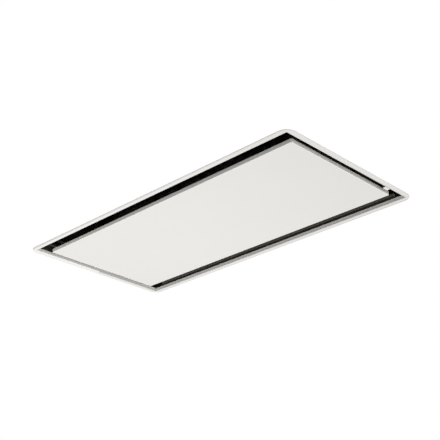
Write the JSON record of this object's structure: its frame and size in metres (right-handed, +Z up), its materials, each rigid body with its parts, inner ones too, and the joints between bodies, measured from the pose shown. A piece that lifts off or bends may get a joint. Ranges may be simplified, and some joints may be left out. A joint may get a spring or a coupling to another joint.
{
  "type": "ceiling range hood",
  "caption": "Flush ceiling range hood with a perimeter-suction panel that swings down, grease filters, light strips, a centrifugal fan in its box and a round side outlet with a damper.",
  "frame": {"origin": "centre of the underside, level with the flange's lower face", "axes": "+X along the long side, +Y towards the duct outlet, +Z up into the ceiling"},
  "size_m": [1, 0.5, 0.3],
  "materials": {
    "white_paint": "satin powder coat",
    "white_plastic": "satin",
    "black_paint": "matt black",
    "galvanised": "galvanised",
    "zinc": "zinc plated",
    "spring_steel": "bright",
    "magnet_block": "matt",
    "aluminium": "satin",
    "filter_mesh": "expanded mesh",
    "smoked_cover": "smoked, satin",
    "led_board": "matt",
    "motor_steel": "laminated",
    "black_plastic": "moulded",
    "circuit_board": "solder mask",
    "rubber": "matt"
  },
  "bodies": {
    "root": {"ceiling_flange": "white_paint", "flange_rivets": "zinc", "plenum_walls": "black_paint", "plenum_top": "black_paint", "filter_deck": "black_paint", "side_channel_left": "black_paint", "side_channel_right": "black_paint", "led_channel_rear": "black_paint", "led_strip_rear": "led_board", "led_cover_rear": "smoked_cover", "led_channel_front": "black_paint", "led_strip_front": "led_board", "led_cover_front": "smoked_cover", "hinge_bracket_left": "black_paint", "hinge_bracket_right": "black_paint", "hinge_pins": "zinc", "catch_brackets": "black_paint", "catch_magnets": "magnet_block", "filter_rail": "black_paint", "filter_clips": "spring_steel", "scroll_housing": "galvanised", "inlet_ring": "galvanised", "rubber_mounts": "rubber", "motor_stator": "motor_steel", "motor_lower_bell": "aluminium", "motor_upper_bell": "aluminium", "motor_bearings": "zinc", "motor_screws": "zinc", "motor_box": "galvanised", "motor_box_lid": "galvanised", "box_screws": "zinc", "lid_screws": "zinc", "outlet_collar": "black_plastic", "collar_screws": "zinc", "damper_pin": "zinc", "control_box": "galvanised", "control_lid": "galvanised", "control_board": "circuit_board", "cable_gland": "black_plastic", "switch_tab": "white_plastic", "switch_contact": "black_plastic", "hanger_brackets": "galvanised", "hanger_screws": "zinc"},
    "panel": {"panel_skin": "white_paint", "panel_stiffener": "galvanised", "hinge_arm_left": "galvanised", "hinge_arm_right": "galvanised", "strike_plates": "zinc"},
    "filter_left": {"filter_frame_left": "aluminium", "filter_mesh_left": "filter_mesh", "filter_handle_left": "aluminium"},
    "filter_right": {"filter_frame_right": "aluminium", "filter_mesh_right": "filter_mesh", "filter_handle_right": "aluminium"},
    "fan_rotor": {"impeller": "galvanised", "motor_shaft": "zinc", "motor_rotor": "motor_steel"},
    "damper_left": {"damper_flap_left": "black_plastic"},
    "damper_right": {"damper_flap_right": "black_plastic"},
    "button": {"switch_button": "white_plastic"}
  },
  "joints": [
    {"name": "panel_hinge", "type": "hinge", "parent": "root", "child": "panel", "pos_m": [0, 0.165, 0.028], "axis": [1, 0, 0], "range_deg": [0, 90]},
    {"name": "filter_left_tilt", "type": "hinge", "parent": "root", "child": "filter_left", "pos_m": [-0.208, 0.122, 0.065], "axis": [1, 0, 0], "range_deg": [0, 8]},
    {"name": "filter_right_tilt", "type": "hinge", "parent": "root", "child": "filter_right", "pos_m": [0.208, 0.122, 0.065], "axis": [1, 0, 0], "range_deg": [0, 8]},
    {"name": "fan_spin", "type": "hinge", "parent": "root", "child": "fan_rotor", "pos_m": [-0.11039, -0.03, 0.2], "axis": [0, 0, 1], "continuous": true},
    {"name": "damper_left_swing", "type": "hinge", "parent": "root", "child": "damper_left", "pos_m": [0, 0.214, 0.205], "axis": [0, 0, -1], "range_deg": [0, 75]},
    {"name": "damper_right_swing", "type": "hinge", "parent": "root", "child": "damper_right", "pos_m": [0, 0.214, 0.205], "axis": [0, 0, 1], "range_deg": [0, 75]},
    {"name": "button_press", "type": "slide", "parent": "root", "child": "button", "axis": [0, 0, 1], "range_m": [0, 0.0015], "stiffness_N_per_m": 300, "springref_m": -0.001}
  ]
}
